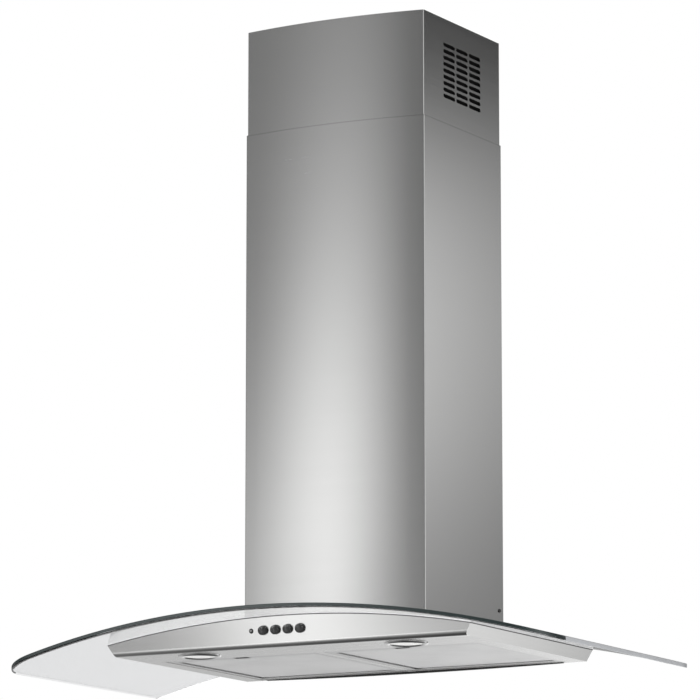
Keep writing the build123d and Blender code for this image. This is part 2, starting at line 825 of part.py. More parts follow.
def control_lid():
    """Lid of the control box, with a step that drops inside the walls."""
    rear = bay_front - electrics_spacing
    low = canopy_sheet + control_height
    half = control_length / 2
    lid = block(-half, half, rear - control_depth, rear, low, low + box_wall)
    return lid + block(-half + box_wall, half - box_wall, rear - control_depth + box_wall, rear - box_wall,
                       low - box_wall, low)


def lamp_driver():
    """Lamp supply beside the control box."""
    left = -control_length / 2 - electrics_spacing - driver_length
    rear = bay_front - electrics_spacing
    low = canopy_sheet
    case = block(left, left + driver_length, rear - driver_depth, rear, low, low + driver_height)
    return fillet(case.edges().filter_by(Axis.Z), box_wall)


def cable_gland():
    """Gland in the chassis top for the mains lead."""
    x, y = gland_place()
    gland = post(gland_radius, x, y, outlet_top - gland_flange, chassis_top + gland_height)
    gland += post(gland_radius + gland_flange, x, y, chassis_top, chassis_top + gland_flange)
    return gland - post(gland_bore, x, y, 0, spigot_top)


def glass_bushes():
    """Top-hat bushes that keep the screws off the glass."""
    bush = bar(glass_screw_head, bush_flange)
    bush += Pos(0, 0, -glass_thickness) * bar(glass_hole_radius - screw_clearance, glass_thickness)
    bush -= Cylinder(glass_screw_radius + screw_clearance, 4 * glass_thickness)
    return Part() + [place * bush for place in glass_screw_places()]


def glass_screws():
    """Pan head screws through the bushes into the deck."""
    head = spot(0, 0, bush_flange) * bar(glass_screw_head, glass_screw_radius)
    head = fillet(head.edges().sort_by(Axis.Z)[-1:], glass_screw_radius / 2)
    screw = head + post(glass_screw_radius, 0, 0, bush_flange - glass_screw_length, bush_flange)
    return Part() + [place * screw for place in glass_screw_places()]


def chimney_screws():
    """One screw at each side of the chimney, into the chassis lugs."""
    face = chimney_width / 2
    head = rod(chimney_screw_head, face, face + chimney_screw_radius, 0, 0)
    head = fillet(head.edges().sort_by(Axis.X)[-1:], chimney_screw_radius / 2)
    screw = head + rod(chimney_screw_radius, face - chimney_screw_length, face, 0, 0)
    screw = spot(0, -chimney_screw_back, chimney_screw_height) * screw
    return screw + mirror(screw, about=Plane.YZ)


def save(name, shape):
    """Write a piece with the origin at the middle of the wall screws."""
    export_step(spot(0, 0, -screw_height) * shape, f"parts/{name}.step")


def pieces():
    """Every piece in its place, by name."""
    made = {
        "glass_canopy": glass_canopy(),
        "glass_seal": glass_seal(),
        "glass_bushes": glass_bushes(),
        "glass_screws": glass_screws(),
        "canopy_shell": canopy_shell(),
        "front_panel": front_panel(),
        "bottom_frame": bottom_frame(),
        "lower_chimney": lower_chimney(),
        "upper_chimney": upper_chimney(),
        "vent_louvre_right": vent_louvre(),
        "vent_louvre_left": mirror(vent_louvre(), about=Plane.YZ),
        "chimney_screws": chimney_screws(),
        "upper_bracket": upper_bracket(),
        "motor_chassis": motor_chassis(),
        "scroll_right": volute_half_shell(),
        "scroll_left": mirror(volute_half_shell(), about=Plane.YZ),
        "impeller": impeller(),
        "motor": motor(),
        "motor_shaft": motor_shaft(),
        "motor_bracket": motor_bracket(),
        "motor_capacitor": motor_capacitor(),
        "outlet_spigot": outlet_spigot(),
        "damper_pin": damper_pin(),
        "damper_flap_rear": damper_flap(1),
        "damper_flap_front": damper_flap(-1),
        "switch_block": switch_block(),
        "pilot_lens": panel_spot(button_first - pilot_offset, button_height) * pilot_lens(),
        "control_box": tray(-control_length / 2, control_length, control_depth, control_height),
        "control_lid": control_lid(),
        "lamp_driver": lamp_driver(),
        "cable_gland": cable_gland(),
    }
    for name, place in zip(("light", "low", "medium", "high"), button_places()):
        made[f"button_{name}"] = place * push_button()
    for side, sign in sides:
        lamp = spot(sign * lamp_spacing / 2, lamp_y, 0)
        made[f"lamp_bezel_{side}"] = lamp * lamp_bezel()
        made[f"lamp_lens_{side}"] = lamp * lamp_lens()
        made[f"lamp_housing_{side}"] = lamp * lamp_housing()
        bay = spot(sign * filter_middle, 0, 0)
        made[f"filter_frame_{side}"] = bay * filter_frame()
        made[f"filter_mesh_{side}"] = bay * filter_mesh()
        made[f"filter_latch_{side}"] = bay * filter_latch()
    return made


os.makedirs("parts", exist_ok=True)
for node, solid in pieces().items():
    save(node, solid)
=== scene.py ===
"""Looks of a wall mount range hood with a bent glass canopy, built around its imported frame.

Metres, +Z up. The wall is the plane y = 0, the front faces -Y, and x = 0 is the middle.
"""

import logging
import math
from dataclasses import dataclass
from enum import Enum, IntEnum
from functools import cache
from typing import Any, Iterable, Sequence

import bpy
import numpy as np
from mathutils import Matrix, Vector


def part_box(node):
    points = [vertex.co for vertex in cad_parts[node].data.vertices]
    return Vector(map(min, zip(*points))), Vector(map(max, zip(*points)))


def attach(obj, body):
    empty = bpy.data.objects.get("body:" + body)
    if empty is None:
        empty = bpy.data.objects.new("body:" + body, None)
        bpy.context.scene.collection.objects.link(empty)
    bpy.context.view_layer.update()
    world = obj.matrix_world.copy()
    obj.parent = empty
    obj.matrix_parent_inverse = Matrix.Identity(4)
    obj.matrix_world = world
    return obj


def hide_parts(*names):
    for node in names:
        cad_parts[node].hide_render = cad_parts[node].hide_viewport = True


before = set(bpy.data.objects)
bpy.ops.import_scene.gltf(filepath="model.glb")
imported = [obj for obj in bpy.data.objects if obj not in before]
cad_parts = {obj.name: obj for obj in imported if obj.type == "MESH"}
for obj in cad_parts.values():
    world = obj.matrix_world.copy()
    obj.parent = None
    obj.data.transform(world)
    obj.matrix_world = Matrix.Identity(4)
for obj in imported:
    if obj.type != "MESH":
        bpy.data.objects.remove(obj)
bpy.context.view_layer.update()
log = logging.getLogger("range_hood")

Node = bpy.types.Node
Socket = bpy.types.NodeSocket
Triple = tuple[float, float, float]
Mesh = tuple[np.ndarray, list[np.ndarray]]
WHITE = (1.0, 1.0, 1.0, 1.0)
NOISE_LOW, NOISE_HIGH = 0.3, 0.7
SIDES: tuple[str, ...] = ("left", "right")
FULL_TURN = 2.0 * math.pi
QUARTER_TURN = math.pi / 2.0


class Graph:
    """A node tree with short calls that add and wire its nodes."""

    def __init__(self, tree: bpy.types.NodeTree) -> None:
        """Wrap a node tree."""
        self.tree = tree

    def feed(self, socket: Socket, value: Any) -> None:
        """Link a socket to an input, or set the input's own value.

        Args:
            socket: the input.
            value: an output socket or a plain value.
        """
        if isinstance(value, Socket):
            self.tree.links.new(value, socket)
        else:
            socket.default_value = value

    def add(self, kind: str, inputs: dict[Any, Any] | None = None, **settings: Any) -> Node:
        """Add a node.

        Args:
            kind: the node's type without its ShaderNode prefix.
            inputs: values or sockets for the node's inputs, by name or index.
            settings: the node's own properties.

        Returns:
            The new node.
        """
        node = self.tree.nodes.new("ShaderNode" + kind)
        for key, value in settings.items():
            setattr(node, key, value)
        for key, value in (inputs or {}).items():
            self.feed(node.inputs[key], value)
        return node

    def math(self, operation: str, *values: Any) -> Socket:
        """The result of a Math node on one to three values."""
        return self.add("Math", dict(enumerate(values)), operation=operation).outputs[0]

    def span(self, value: Any, low: float, high: float, to_low: float, to_high: float) -> Socket:
        """The result of a Map Range node, clamped to its ends."""
        inputs = {0: value, 1: low, 2: high, 3: to_low, 4: to_high}
        return self.add("MapRange", inputs).outputs[0]

    def signed(self, noise: Any) -> Socket:
        """The usual range of a noise, spread from -1 to 1."""
        return self.span(noise, NOISE_LOW, NOISE_HIGH, -1.0, 1.0)

    def product(self, a: Any, b: Any) -> Socket:
        """The product of two colours."""
        inputs = {0: 1.0, 6: a, 7: b}
        return self.add("Mix", inputs, data_type="RGBA", blend_type="MULTIPLY").outputs[2]

    def noise(self, vector: Any, scale: Any, detail: float = 3.0) -> Socket:
        """The grey result of a Noise Texture node."""
        return self.add("TexNoise", {"Vector": vector, "Scale": scale, "Detail": detail}).outputs[0]

    def place(self) -> Socket:
        """The point on the surface, in Object coordinates."""
        return self.add("TexCoord").outputs["Object"]

    def parts(self) -> bpy.types.NodeOutputs:
        """X, Y and Z of the point on the surface."""
        return self.add("SeparateXYZ", {0: self.place()}).outputs

    def seen(self) -> Socket:
        """One for rays that end in the picture, straight, mirrored or through glass, else nought.

        Returns:
            The mask's socket.
        """
        path = self.add("LightPath").outputs
        turned = self.math("MAXIMUM", path["Is Glossy Ray"], path["Is Transmission Ray"])
        return self.math("MAXIMUM", path["Is Camera Ray"], turned)

    def put(self, name: str, value: Any) -> None:
        """Link or set an input of the material's Principled shader."""
        self.feed(self.tree.nodes["Principled BSDF"].inputs[name], value)

    def show(self, shader: Node) -> None:
        """Send a shader to the material's output."""
        self.feed(self.tree.nodes["Material Output"].inputs["Surface"], shader.outputs[0])

    def overlay(self, factor: Socket, other: Node) -> None:
        """Show another shader over the material's Principled one, mixed by a factor."""
        own = self.tree.nodes["Principled BSDF"].outputs[0]
        self.show(self.add("MixShader", {0: factor, 1: own, 2: other.outputs[0]}))


class Effect(Enum):
    """Shader node groups that several finishes share."""

    BRUSH = "brushed_grain"
    SMUDGE = "handling_smudges"
    GRAIN = "moulded_grain"
    SPANGLE = "zinc_spangle"

    def group(self) -> bpy.types.NodeTree:
        """The effect's node group, built at its first use.

        Returns:
            The group.
        """
        builders = {Effect.BRUSH: self._brush, Effect.SMUDGE: self._smudge,
                    Effect.GRAIN: self._grain, Effect.SPANGLE: self._spangle}
        if self.value not in bpy.data.node_groups:
            builders[self]()
        return bpy.data.node_groups[self.value]

    def _new(self, inputs: dict[str, Any], outputs: Sequence[str]) -> tuple[Graph, Node, Node]:
        """Start a group whose inputs take their kind from their default, and whose outputs are floats.

        Args:
            inputs: default value by name, a number or three numbers.
            outputs: names.

        Returns:
            The graph, its input node and its output node.
        """
        tree = bpy.data.node_groups.new(self.value, "ShaderNodeTree")
        for name, default in inputs.items():
            kind = "NodeSocketFloat" if isinstance(default, float) else "NodeSocketVector"
            tree.interface.new_socket(name, in_out="INPUT", socket_type=kind).default_value = default
        for name in outputs:
            tree.interface.new_socket(name, in_out="OUTPUT", socket_type="NodeSocketFloat")
        return Graph(tree), tree.nodes.new("NodeGroupInput"), tree.nodes.new("NodeGroupOutput")

    def _brush(self) -> None:
        """Noise drawn out along the brushing: fine scratches with broader bands under them."""
        g, given, made = self._new({"Stretch": (4.0, 4.0, 900.0), "Depth": 0.05},
                                   ("Shade", "Roughness", "Height"))
        fine_share, broad_share, broad_scale, shade_share = 0.8, 0.2, 0.16, 0.3
        inputs = {0: g.place(), 1: given.outputs["Stretch"]}
        drawn_out = g.add("VectorMath", inputs, operation="MULTIPLY").outputs[0]
        fine = g.noise(drawn_out, 1.0, 2.0)
        broad = g.noise(drawn_out, broad_scale, 2.0)
        streak = g.math("MULTIPLY_ADD", broad, broad_share, g.math("MULTIPLY", fine, fine_share))
        signed = g.signed(streak)
        depth = given.outputs["Depth"]
        shade = g.math("MULTIPLY_ADD", signed, g.math("MULTIPLY", depth, shade_share), 1.0)
        g.feed(made.inputs["Shade"], shade)
        g.feed(made.inputs["Roughness"], g.math("MULTIPLY", signed, depth))
        g.feed(made.inputs["Height"], streak)

    def _smudge(self) -> None:
        """Soft patches of dulled surface, from two noises multiplied."""
        g, given, made = self._new({"Scale": 6.0, "Amount": 0.1}, ("Dulling", "Clean"))
        place, small_scale, least_small = g.place(), 60.0, 0.4
        wide_start, wide_end, small_start, small_end = 0.42, 0.72, 0.2, 0.7
        wide = g.noise(place, given.outputs["Scale"], 4.0)
        wide = g.span(wide, wide_start, wide_end, 0.0, 1.0)
        small = g.span(g.noise(place, small_scale), small_start, small_end, least_small, 1.0)
        dull = g.math("MULTIPLY", g.math("MULTIPLY", wide, small), given.outputs["Amount"])
        g.feed(made.inputs["Dulling"], dull)
        g.feed(made.inputs["Clean"], g.math("SUBTRACT", 1.0, dull))

    def _grain(self) -> None:
        """The fine pebbled surface of moulded plastic, with slow changes of tone."""
        g, given, made = self._new({"Scale": 1400.0, "Depth": 0.06}, ("Shade", "Roughness", "Height"))
        place, slow_scale = g.place(), 22.0
        pebble = g.noise(place, given.outputs["Scale"], 1.0)
        slow = g.signed(g.noise(place, slow_scale))
        depth = given.outputs["Depth"]
        g.feed(made.inputs["Shade"], g.math("MULTIPLY_ADD", slow, depth, 1.0))
        g.feed(made.inputs["Roughness"], g.math("MULTIPLY", slow, depth))
        g.feed(made.inputs["Height"], pebble)

    def _spangle(self) -> None:
        """The flowered crystals of a zinc coat: one grey for each cell of a Voronoi texture."""
        g, given, made = self._new({"Scale": 90.0, "Depth": 0.15}, ("Shade", "Roughness"))
        inputs = {"Vector": g.place(), "Scale": given.outputs["Scale"]}
        cell = g.add("TexVoronoi", inputs).outputs["Color"]
        grey = g.span(g.add("SeparateColor", {0: cell}).outputs[0], 0.0, 1.0, -1.0, 1.0)
        depth = given.outputs["Depth"]
        g.feed(made.inputs["Shade"], g.math("MULTIPLY_ADD", grey, depth, 1.0))
        g.feed(made.inputs["Roughness"], g.math("MULTIPLY", grey, depth))


@dataclass(frozen=True)
class Finish:
    """A surface finish; each kind adds its own nodes to the shader."""

    name: str
    colour: Triple
    roughness: float
    metallic: float = 0.0
    specular: float = 0.5
    smudge_scale: float = 9.0
    smudge: float = 0.12

    @cache
    def material(self) -> bpy.types.Material:
        """The finish as a material, built at its first use.

        Returns:
            The material.
        """
        made = bpy.data.materials.new(self.name)
        made.use_nodes = True
        graph = Graph(made.node_tree)
        for key, value in (("Base Color", (*self.colour, 1.0)), ("Roughness", self.roughness),
                           ("Metallic", self.metallic), ("Specular IOR Level", self.specular)):
            graph.put(key, value)
        self.detail(graph)
        return made

    def detail(self, graph: Graph) -> None:
        """Add the finish's own nodes; the plain finish has smudges alone."""
        self.vary(graph, *self.smudges(graph))

    def smudges(self, graph: Graph) -> tuple[Socket, Socket]:
        """Place the smudges: a shade and a roughness to add."""
        made = self.effect(graph, Effect.SMUDGE, Scale=self.smudge_scale, Amount=self.smudge)
        return made["Clean"], made["Dulling"]

    def effect(self, graph: Graph, effect: Effect, **values: Any) -> bpy.types.NodeOutputs:
        """Place a shared effect with its values.

        Args:
            graph: the material's graph.
            effect: which effect.
            values: the group's inputs by name.

        Returns:
            The group node's outputs.
        """
        node = graph.add("Group", node_tree=effect.group())
        for key, value in values.items():
            graph.feed(node.inputs[key], value)
        return node.outputs

    def vary(self, graph: Graph, shade: Any, roughness: Any) -> None:
        """Multiply the base colour by a shade and add to the roughness."""
        graph.put("Base Color", graph.product((*self.colour, 1.0), shade))
        graph.put("Roughness", graph.math("ADD", roughness, self.roughness))

    def bump(self, graph: Graph, height: Any, strength: float, distance: float) -> None:
        """Feed a height to the shader's normal through a Bump node."""
        node = graph.add("Bump", {"Strength": strength, "Distance": distance, "Height": height})
        graph.put("Normal", node.outputs[0])


@dataclass(frozen=True)
class BrushedSteel(Finish):
    """Stainless sheet with fine scratches along one way and faint finger marks."""

    smudge_scale: float = 5.0
    smudge: float = 0.015
    stretch: Triple = (2.0, 2.0, 600.0)
    depth: float = 0.012
    relief: float = 0.004
    scratch: float = 0.0001
    anisotropy: float = 0.0
    rotation: float = 0.25

    def detail(self, graph: Graph) -> None:
        """Scratches in tone, roughness and height, and highlights drawn out across them.

        Args:
            graph: the material's graph.
        """
        brush = self.effect(graph, Effect.BRUSH, Stretch=self.stretch, Depth=self.depth)
        _, dulling = self.smudges(graph)
        self.vary(graph, brush["Shade"], graph.math("ADD", brush["Roughness"], dulling))
        if self.relief:
            self.bump(graph, brush["Height"], self.relief, self.scratch)
        if self.anisotropy:
            graph.put("Anisotropic", self.anisotropy)
            graph.put("Anisotropic Rotation", self.rotation)
            way = graph.add("Tangent", direction_type="RADIAL", axis="Z").outputs[0]
            graph.put("Tangent", way)


@dataclass(frozen=True)
class JointShadedSteel(BrushedSteel):
    """Brushed sheet with painted shade in a band of height hem just below its upper edge, where the joint
    with the upper cover is in shade.
    """

    rim: float = 0.0
    hem: float = 0.0018
    # Share of the colour left in the painted shade band below the rim.
    dulled: float = 0.80

    def vary(self, graph: Graph, shade: Any, roughness: Any) -> None:
        """Darken the colour in the band just below the rim, by height: painted shade of the joint.

        Args:
            graph: the material's graph.
            shade: what multiplies the base colour.
            roughness: what is added to the roughness.
        """
        height = graph.parts()["Z"]
        # Painted shade: the colour darkens in the band just below the rim.
        line = graph.span(height, self.rim - self.hem, self.rim - self.hem / 2.0, 1.0, self.dulled)
        super().vary(graph, graph.math("MULTIPLY", shade, line), roughness)


@dataclass(frozen=True)
class Moulded(Finish):
    """Moulded plastic or rubber with a pebbled surface."""

    grain: float = 1400.0
    depth: float = 0.06
    relief: float = 0.15
    pebble: float = 0.0002

    def detail(self, graph: Graph) -> None:
        """Pebbles in the height, slow changes in tone and roughness.

        Args:
            graph: the material's graph.
        """
        grain = self.effect(graph, Effect.GRAIN, Scale=self.grain, Depth=self.depth)
        self.vary(graph, grain["Shade"], grain["Roughness"])
        self.bump(graph, grain["Height"], self.relief, self.pebble)


@dataclass(frozen=True)
class GapShadedSeal(Moulded):
    """A seal in a narrow gap: its own dark colour is painted shade of the gap, and mirrors show it pale, a
    painted reflection of its lit side.
    """

    painted_mirror_grey: float = 0.62

    def detail(self, graph: Graph) -> None:
        """The moulded grain, and a pale diffuse shader for mirrored rays: a painted reflection of the
        seal's lit side.

        Args:
            graph: the material's graph.
        """
        super().detail(graph)
        pale = graph.add("BsdfDiffuse", {"Color": (self.painted_mirror_grey, self.painted_mirror_grey, self.painted_mirror_grey, 1.0)})
        # Painted reflection: mirrored rays see a pale grey in place of the dark seal.
        graph.overlay(graph.add("LightPath").outputs["Is Glossy Ray"], pale)


@dataclass(frozen=True)
class Galvanised(Finish):
    """Zinc coated sheet with its crystal flowers."""

    smudge_scale: float = 7.0
    smudge: float = 0.15
    spangle: float = 90.0
    contrast: float = 0.12

    def detail(self, graph: Graph) -> None:
        """One tone and roughness for each crystal, dulled by smudges.

        Args:
            graph: the material's graph.
        """
        spangle = self.effect(graph, Effect.SPANGLE, Scale=self.spangle, Depth=self.contrast)
        _, dulling = self.smudges(graph)
        self.vary(graph, spangle["Shade"], graph.math("ADD", spangle["Roughness"], dulling))


@dataclass(frozen=True)
class SheetGlass(Finish):
    """Toughened glass; lamps shine through it, and faint dust dulls it."""

    smudge_scale: float = 4.0
    smudge: float = 0.03
    passing: float = 0.85
    index: float = 1.5

    def detail(self, graph: Graph) -> None:
        """Clear transmission with a trace of dust, and a see-through share for light from lamps.

        Args:
            graph: the material's graph.
        """
        super().detail(graph)
        graph.put("Transmission Weight", 1.0)
        graph.put("IOR", self.index)
        clear = graph.add("BsdfTransparent", {"Color": (self.passing, self.passing, self.passing, 1.0)})
        graph.overlay(graph.add("LightPath").outputs["Is Shadow Ray"], clear)


@dataclass(frozen=True)
class GroundEdge(Finish):
    """The ground edge of a glass sheet: frosted from outside, clear from within the sheet."""

    def detail(self, graph: Graph) -> None:
        """Smudges on the outside, and a clear shader for rays that come from inside."""
        super().detail(graph)
        graph.overlay(graph.add("NewGeometry").outputs["Backfacing"], graph.add("BsdfTransparent"))


@dataclass(frozen=True)
class PaleFloor(Finish):
    """A plain floor, paler to the eye than the lamps make it, white far away, and open from below."""

    lift: float = 0.40
    far_lift: float = 0.62
    near: float = 2.0
    far: float = 6.0

    def detail(self, graph: Graph) -> None:
        """Light of its own for rays that end in the picture, and a clear shader for its underside.

        Args:
            graph: the material's graph.
        """
        away = graph.add("VectorMath", {0: graph.place()}, operation="LENGTH").outputs["Value"]
        lift = graph.span(away, self.near, self.far, self.lift, self.far_lift)
        graph.put("Emission Color", WHITE)
        graph.put("Emission Strength", graph.math("MULTIPLY", graph.seen(), lift))
        graph.overlay(graph.add("NewGeometry").outputs["Backfacing"], graph.add("BsdfTransparent"))


@dataclass(frozen=True)
class MeshFoil(Finish):
    """Expanded aluminium of a grease filter: bright strands round small openings, painted dark as the
    shade seen through them.
    """

    smudge_scale: float = 12.0
    smudge: float = 0.06
    pitch: float = 0.0018
    # Colour share in the openings: painted shade seen through the mesh.
    eye_shade: float = 0.90
    eye_start: float = -0.2
    eye_end: float = 0.9
    relief: float = 0.2
    strand: float = 0.0003

    def detail(self, graph: Graph) -> None:
        """Openings where two sine waves across the sheet are both high, painted dark as shade seen through
        them, and smudges of old grease.

        Args:
            graph: the material's graph.
        """
        parts = graph.parts()
        across, along = (graph.math("SINE", graph.math("MULTIPLY", parts[axis], FULL_TURN / self.pitch))
                         for axis in "XY")
        both = graph.math("MULTIPLY", across, along)
        # Painted shade: the colour darkens in the mesh's openings.
        eyes = graph.span(both, self.eye_start, self.eye_end, 1.0, self.eye_shade)
        clean, dulling = self.smudges(graph)
        self.vary(graph, graph.math("MULTIPLY", eyes, clean), dulling)
        self.bump(graph, eyes, self.relief, self.strand)


@dataclass(frozen=True)
class RidgedLens(Finish):
    """Frosted lamp glass with rings of fine ridges about each lamp's middle, painted shade in the ridges'
    valleys, and a painted glow though the lamp is not lit.
    """

    across: float = 0.170
    back: float = -0.339
    pitch: float = 0.0024
    # Colour share in the ridges' valleys: painted shade.
    valley_shade: float = 0.94
    frost: float = 0.04
    relief: float = 0.2
    ridge: float = 0.0004
    # Painted light: an emission that brightens the lens, though the lamp is off.
    glow: float = 0.20

    def detail(self, graph: Graph) -> None:
        """Ridges as a sine of the distance from the lamp's axis, the same for both sides, with painted
        shade in their valleys, and a glow that paints the unlit lens bright.

        Args:
            graph: the material's graph.
        """
        parts = graph.parts()
        x = graph.math("SUBTRACT", graph.math("ABSOLUTE", parts["X"]), self.across)
        y = graph.math("SUBTRACT", parts["Y"], self.back)
        square = graph.math("ADD", graph.math("MULTIPLY", x, x), graph.math("MULTIPLY", y, y))
        away = graph.math("SQRT", square)
        ridge = graph.math("SINE", graph.math("MULTIPLY", away, FULL_TURN / self.pitch))
        self.vary(graph, graph.span(ridge, -1.0, 1.0, self.valley_shade, 1.0),
                  graph.span(ridge, -1.0, 1.0, 0.0, self.frost))
        self.bump(graph, ridge, self.relief, self.ridge)
        graph.put("Emission Color", (*self.colour, 1.0))
        graph.put("Emission Strength", self.glow)


@dataclass(frozen=True)
class PilotLens(Finish):
    """A black ring round a pale pilot lens, by the distance from the lens's tip."""

    tip: Triple = (0.0, 0.0, 0.0)
    inner: float = 0.0010
    outer: float = 0.0020
    pale: float = 9.0

    def detail(self, graph: Graph) -> None:
        """Pale inside the inner distance, the finish's own colour outside the outer one.

        Args:
            graph: the material's graph.
        """
        inputs = {0: graph.place(), 1: self.tip}
        away = graph.add("VectorMath", inputs, operation="DISTANCE").outputs["Value"]
        self.vary(graph, graph.span(away, self.inner, self.outer, self.pale, 1.0), 0.0)


UPRIGHT_STEEL = BrushedSteel("brushed_steel_upright", (0.60, 0.60, 0.595), 0.25, 1.0, anisotropy=0.55)
PANEL_STEEL = BrushedSteel("brushed_steel_panel", (0.60, 0.60, 0.595), 0.20, 1.0, anisotropy=0.55)
FLAT_STEEL = BrushedSteel("brushed_steel_flat", (0.62, 0.62, 0.615), 0.27, 0.85,
                          stretch=(2.0, 600.0, 60.0), depth=0.003, relief=0.0)
SCREW_STEEL = Finish("plated_steel", (0.20, 0.20, 0.20), 0.35, 1.0)
BLACK_STEEL = Finish("blackened_steel", (0.03, 0.03, 0.03), 0.40)
CHROME = Finish("satin_chrome", (0.60, 0.60, 0.60), 0.12, 1.0)
ZINC_SHEET = Galvanised("zinc_sheet", (0.56, 0.58, 0.60), 0.38, 1.0)
CAST_ALUMINIUM = Finish("cast_aluminium", (0.55, 0.55, 0.56), 0.45, 1.0)
FILTER_BAND = BrushedSteel("filter_band", (0.62, 0.62, 0.62), 0.32, 1.0, stretch=(60.0, 600.0, 60.0))
FILTER_FOIL = MeshFoil("filter_foil", (0.69, 0.69, 0.69), 0.34, 0.6)
CLEAR_GLASS = SheetGlass("tinted_sheet_glass", (0.775, 0.78, 0.79), 0.0)
FRONT_EDGE = Finish("glass_front_edge", (0.010, 0.018, 0.018), 0.18, specular=0.75)
GROUND_EDGE = GroundEdge("glass_ground_edge", (0.52, 0.53, 0.55), 0.35)
LAMP_GLASS = RidgedLens("ridged_lamp_glass", (0.72, 0.72, 0.71), 0.18)
# The seal's dark colour is painted shade of the gap between glass and steel; its pale grey in mirrors is a
# painted reflection.
SHADED_GREY_SILICONE = GapShadedSeal("grey_silicone_painted_shade", (0.08, 0.08, 0.08), 0.60, specular=0.2)
BLACK_RUBBER = Moulded("black_rubber", (0.02, 0.02, 0.02), 0.65)
PALE_FLOOR = PaleFloor("pale_floor", (0.92, 0.92, 0.92), 0.7, specular=0.2)
BLACK_PLASTIC = Moulded("satin_black_plastic", (0.03, 0.03, 0.03), 0.48)
GREY_PLASTIC = Moulded("satin_grey_plastic", (0.34, 0.35, 0.36), 0.50)
BUTTON_PLASTIC = Moulded("domed_button_plastic", (0.018, 0.018, 0.018), 0.28, specular=0.6)
LOUVRE_PLASTIC = Moulded("matt_black_louvre", (0.004, 0.004, 0.004), 0.80, specular=0.1)
LATCH_PLASTIC = Moulded("dark_latch_plastic", (0.02, 0.02, 0.02), 0.60, specular=0.05)


def dress(finish: Finish, nodes: Iterable[str]) -> None:
    """Give CAD nodes a finish.

    Args:
        finish: the finish.
        nodes: the nodes' names.
    """
    for name in nodes:
        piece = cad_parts[name]
        piece.data.materials.clear()
        piece.data.materials.append(finish.material())
        log.info("%s: %s", name, finish.name)


def linked(name: str, data: Any) -> bpy.types.Object:
    """Make an object of some data and link it to the scene.

    Args:
        name: the object's name.
        data: a mesh, lamp or camera.

    Returns:
        The object.
    """
    made = bpy.data.objects.new(name, data)
    bpy.context.scene.collection.objects.link(made)
    return made


def grid_quads(index: np.ndarray) -> np.ndarray:
    """Quads of a grid of vertex numbers, facing the side where rows cross columns by the left hand.

    Args:
        index: vertex numbers, one row for each line of the grid.

    Returns:
        An array of four vertex numbers per quad.
    """
    corners = [index[:-1, :-1], index[:-1, 1:], index[1:, 1:], index[1:, :-1]]
    return np.stack(corners, -1).reshape(-1, 4)


def looped(index: np.ndarray) -> np.ndarray:
    """A grid of vertex numbers with its first column repeated at the end, so that it closes."""
    return np.concatenate([index, index[:, :1]], 1)


def add_piece(name: str, points: np.ndarray, faces: Sequence[np.ndarray], finishes: Sequence[Finish],
              body: str, stands_for: Sequence[str] = (),
              slots: np.ndarray | None = None) -> None:
    """Make a mesh object of points and faces that rides on a body.

    Args:
        name: the piece's name.
        points: N by 3 places in the row frame.
        faces: arrays of vertex numbers, one row per face, facing outward.
        finishes: the piece's finishes.
        body: the CAD body that carries it.
        stands_for: CAD nodes that it replaces.
        slots: the finish number of each face.
    """
    mesh = bpy.data.meshes.new(name)
    mesh.from_pydata(points.tolist(), [], [face for block in faces for face in block.tolist()])
    for finish in finishes:
        mesh.materials.append(finish.material())
    mesh.polygons.foreach_set("use_smooth", np.ones(len(mesh.polygons), bool))
    if slots is not None:
        mesh.polygons.foreach_set("material_index", slots.astype(np.int32))
    mesh.update()
    piece = linked(name, mesh)
    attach(piece, body)
    if stands_for:
        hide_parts(*stands_for)
    log.info("%s: %d faces on %s", name, len(mesh.polygons), body)


def lathed(radius: np.ndarray, height: np.ndarray, place: Sequence[float],
           axis: Sequence[float]) -> Mesh:
    """A closed form turned about an axis: place + r(t) (u cos a + v sin a) + h(t, a) axis.

    Args:
        radius: r at each step from the form's foot to its tip, zero at both ends.
        height: h at each step and angle.
        place: where the axis starts.
        axis: its direction, of length one.

    Returns:
        The points, and the faces as an array of quads and two fans of triangles.
    """
    segments = height.shape[1]
    angle = np.linspace(0.0, FULL_TURN, segments, endpoint=False)
    up = np.asarray(axis)
    side = np.cross(np.roll(up, 1), up)
    side = side / np.linalg.norm(side)
    spoke = np.outer(np.cos(angle), side) + np.outer(np.sin(angle), np.cross(up, side))
    points = np.asarray(place) + radius[:, None, None] * spoke[None] + height[..., None] * up
    index = looped(np.arange(points.shape[0] * segments).reshape(-1, segments))
    foot, tip = index[0, 0], index[-1, 0]
    under = np.stack([np.full(segments, foot), index[1, 1:], index[1, :-1]], -1)
    over = np.stack([np.full(segments, tip), index[-2, :-1], index[-2, 1:]], -1)
    used = np.ones(points.shape[:2], bool)
    used[[0, -1], 1:] = False
    number = np.cumsum(used.ravel()) - 1
    blocks = [number[block] for block in (grid_quads(index[1:-1]), under, over)]
    return points.reshape(-1, 3)[used.ravel()], blocks


def drawn(profile: np.ndarray, stations: np.ndarray, depth: np.ndarray) -> Mesh:
    """A profile of y and z drawn along X and closed at both ends: (x, y, z d(x)).

    Args:
        profile: N by 2 places that run round the profile against the clock, seen from +X.
        stations: x of each section.
        depth: d, the share of the profile's z at each section.

    Returns:
        The points, and the faces as an array of quads and the two ends.
    """
    count = len(profile)
    x = np.repeat(stations, count)
    y = np.tile(profile[:, 0], len(stations))
    points = np.column_stack([x, y, np.outer(depth, profile[:, 1]).ravel()])
    index = looped(np.arange(len(points)).reshape(-1, count))
    return points, [grid_quads(index), index[:1, -2::-1], index[-1:, :-1]]


class GlassFace(IntEnum):
    """The finish numbers of the glass sheet's faces."""

    CLEAR = 0
    FRONT = 1
    GROUND = 2


